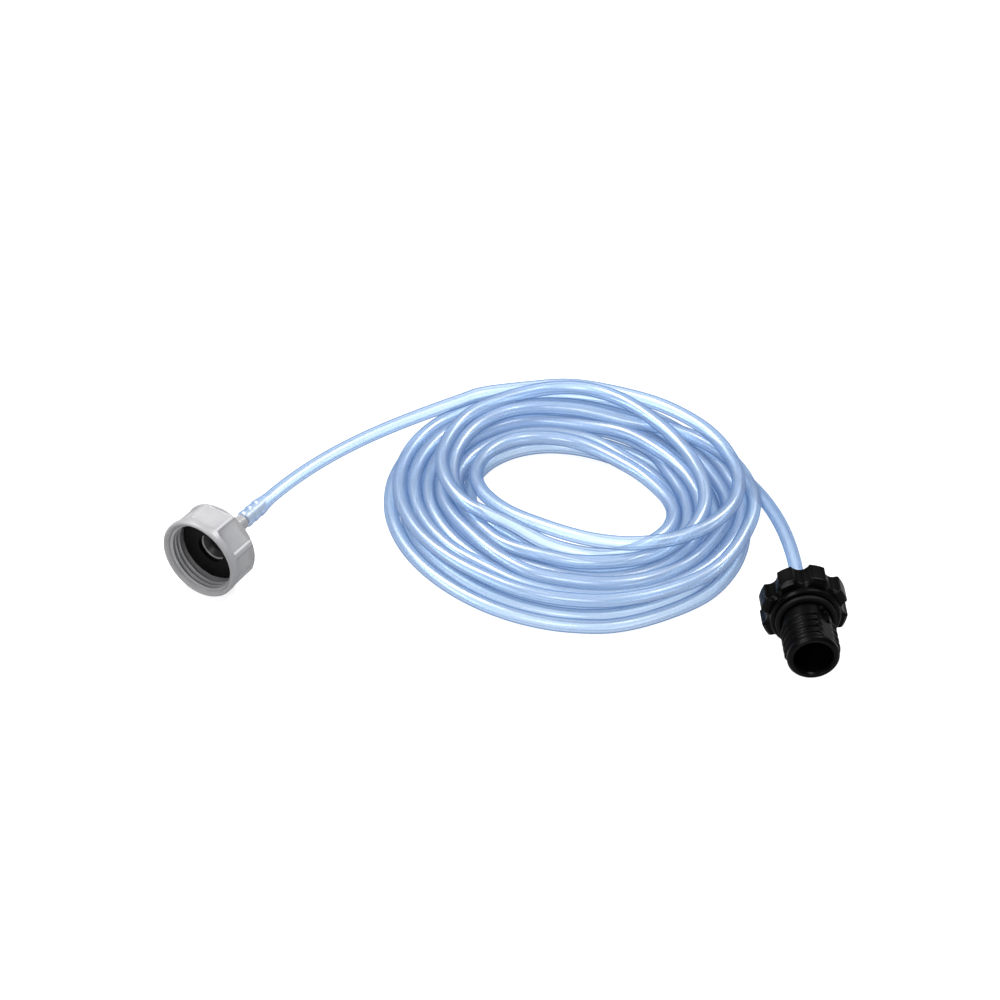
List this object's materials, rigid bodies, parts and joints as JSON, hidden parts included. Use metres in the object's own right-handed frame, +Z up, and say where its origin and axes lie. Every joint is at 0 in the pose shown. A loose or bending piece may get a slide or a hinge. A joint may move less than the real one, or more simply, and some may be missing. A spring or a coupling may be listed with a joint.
{
  "type": "coiled hose with tap coupling and threaded spigot",
  "caption": "Coil of clear flexible hose with a ribbed union nut tap coupling at one end and a lobed nut compression spigot at the other.",
  "frame": {"origin": "middle of the whole outline seen from above, on the floor the coil lies on", "axes": "+Z up, square to the floor; +X across the longest side, from the tap coupling toward the threaded spigot; +Y away from both open ends, toward the back of the coil"},
  "size_m": [0.2892, 0.2024, 0.0374],
  "materials": {
    "clear_hose": "clear flexible vinyl with a light blue tint",
    "grey_plastic": "light grey moulded, satin",
    "black_plastic": "black moulded, satin",
    "black_rubber": "matt"
  },
  "bodies": {
    "coil": {"hose_coil": "clear_hose"},
    "tap_lead_root": {"hose_tap_lead_inner": "clear_hose"},
    "tap_lead": {"hose_tap_lead_outer": "clear_hose", "tap_hose_tail": "grey_plastic", "tap_washer": "black_rubber"},
    "tap_nut": {"tap_union_nut": "grey_plastic"},
    "adaptor_lead_root": {"hose_adaptor_lead_inner": "clear_hose"},
    "adaptor_lead": {"hose_adaptor_lead_outer": "clear_hose", "adaptor_spigot": "black_plastic", "spigot_face_seal": "black_rubber"},
    "grip_ring": {"hose_grip_ring": "black_plastic"},
    "compression_nut": {"lobed_nut": "black_plastic"}
  },
  "joints": [
    {"name": "tap_lead_swing", "type": "hinge", "parent": "coil", "child": "tap_lead_root", "pos_m": [-0.02981, 0.07641, 0.01619], "axis": [0, 0, 1], "range_deg": [-35, 12], "stiffness_Nm_per_rad": 0.01},
    {"name": "tap_lead_lift", "type": "hinge", "parent": "tap_lead_root", "child": "tap_lead", "pos_m": [-0.067, 0.04821, 0.01755], "axis": [-0.6765, 0.7364, 0], "range_deg": [0, 30], "stiffness_Nm_per_rad": 0.01},
    {"name": "union_nut_turn", "type": "hinge", "parent": "tap_lead", "child": "tap_nut", "pos_m": [-0.12943, -0.0357, 0.0187], "axis": [-0.5432, -0.8396, 0], "continuous": true},
    {"name": "adaptor_lead_swing", "type": "hinge", "parent": "coil", "child": "adaptor_lead_root", "pos_m": [0.11173, 0.01774, 0.01191], "axis": [0, 0, 1], "range_deg": [-8, 35], "stiffness_Nm_per_rad": 0.01},
    {"name": "adaptor_lead_lift", "type": "hinge", "parent": "adaptor_lead_root", "child": "adaptor_lead", "pos_m": [0.12004, -0.01235, 0.01669], "axis": [-0.9801, -0.1986, 0], "range_deg": [0, 30], "stiffness_Nm_per_rad": 0.01},
    {"name": "grip_ring_slide", "type": "slide", "parent": "adaptor_lead", "child": "grip_ring", "axis": [-0.0767, 0.9971, 0], "range_m": [0, 0.00625]},
    {"name": "lobed_nut_turn", "type": "hinge", "parent": "grip_ring", "child": "compression_nut", "pos_m": [0.12647, -0.0715, 0.0185], "axis": [-0.0767, 0.9971, 0], "range_deg": [0, 900]}
  ],
  "couplings": [
    {"joint": "grip_ring_slide", "follows": "lobed_nut_turn", "m_per_rad": 0.00039788}
  ]
}
